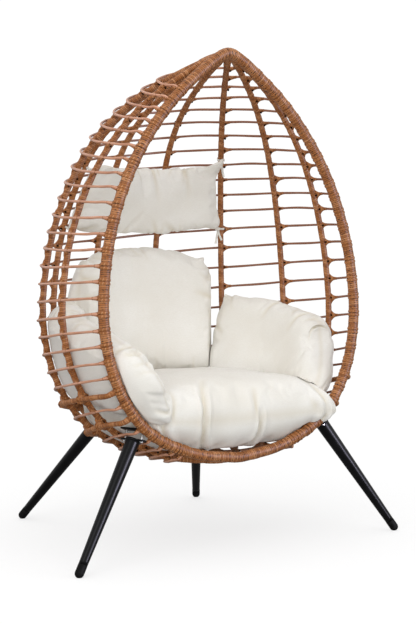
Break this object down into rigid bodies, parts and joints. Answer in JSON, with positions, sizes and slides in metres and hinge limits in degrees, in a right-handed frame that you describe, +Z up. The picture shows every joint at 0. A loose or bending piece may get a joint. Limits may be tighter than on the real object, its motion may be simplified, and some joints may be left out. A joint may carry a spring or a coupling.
{
  "type": "teardrop egg chair",
  "caption": "Teardrop wicker egg chair: a strand-wrapped frame with spaced cane hoops, loose seat, back, arm and head cushions, standing on splayed tapered steel legs.",
  "frame": {"origin": "on the ground, in the middle of the chair's bounding box", "axes": "+Z up, +X to the viewer's right when the chair is seen from the front, -Y the way the sitter faces"},
  "size_m": [1.2076, 0.8744, 1.5574],
  "materials": {
    "wrapped_strand": "flat woven resin strand, warm brown, satin ridges",
    "cane": "smooth round resin cane, pinkish brown, soft sheen",
    "black_leg": "black powder coat, satin",
    "foot_plastic": "black moulded plastic, matt",
    "zinc_bolt": "bright zinc plate",
    "cushion_fabric": "cream plain-weave polyester, soft"
  },
  "bodies": {
    "frame": {"cane_hoop_01": "cane", "cane_hoop_02": "cane", "cane_hoop_03": "cane", "cane_hoop_04": "cane", "cane_hoop_05": "cane", "cane_hoop_06": "cane", "cane_hoop_07": "cane", "cane_hoop_08": "cane", "cane_hoop_09": "cane", "cane_hoop_10": "cane", "cane_hoop_11": "cane", "cane_hoop_12": "cane", "cane_hoop_13": "cane", "cane_hoop_14": "cane", "cane_hoop_15": "cane", "cane_hoop_16": "cane", "cane_hoop_17": "cane", "cane_hoop_18": "cane", "cane_hoop_19": "cane", "cane_hoop_20": "cane", "cane_hoop_21": "cane", "cane_hoop_23": "cane", "cane_hoop_25": "cane", "cane_hoop_26": "cane", "cane_hoop_27": "cane", "cane_hoop_28": "cane", "cane_hoop_29": "cane", "front_left_bolt_1": "zinc_bolt", "front_left_bolt_2": "zinc_bolt", "front_left_foot": "foot_plastic", "front_left_leg": "black_leg", "front_right_bolt_1": "zinc_bolt", "front_right_bolt_2": "zinc_bolt", "front_right_foot": "foot_plastic", "front_right_leg": "black_leg", "front_rim": "wrapped_strand", "left_centre_rib": "wrapped_strand", "left_quarter_rib": "wrapped_strand", "left_rear_rib": "wrapped_strand", "left_side_rib": "wrapped_strand", "rear_left_bolt_1": "zinc_bolt", "rear_left_bolt_2": "zinc_bolt", "rear_left_foot": "foot_plastic", "rear_left_leg": "black_leg", "rear_right_bolt_1": "zinc_bolt", "rear_right_bolt_2": "zinc_bolt", "rear_right_foot": "foot_plastic", "rear_right_leg": "black_leg", "right_centre_rib": "wrapped_strand", "right_quarter_rib": "wrapped_strand", "right_rear_rib": "wrapped_strand", "right_side_rib": "wrapped_strand", "wrapped_hoop_22": "wrapped_strand", "wrapped_hoop_24": "wrapped_strand", "seat_cushion": "cushion_fabric"},
    "back": {"back_cushion": "cushion_fabric"},
    "left_arm": {"left_arm_cushion": "cushion_fabric"},
    "right_arm": {"right_arm_cushion": "cushion_fabric"},
    "pillow": {"head_pillow": "cushion_fabric"}
  },
  "joints": [
    {"name": "back_lift_out", "type": "slide", "parent": "frame", "child": "back", "axis": [0, 0, 1], "range_m": [0, 0.03]},
    {"name": "left_arm_lift_out", "type": "slide", "parent": "frame", "child": "left_arm", "axis": [0, 0, 1], "range_m": [0, 0.08]},
    {"name": "right_arm_lift_out", "type": "slide", "parent": "frame", "child": "right_arm", "axis": [0, 0, 1], "range_m": [0, 0.08]},
    {"name": "pillow_retie", "type": "slide", "parent": "frame", "child": "pillow", "axis": [0, -0.5291, 0.8486], "range_m": [0, 0.045]}
  ]
}
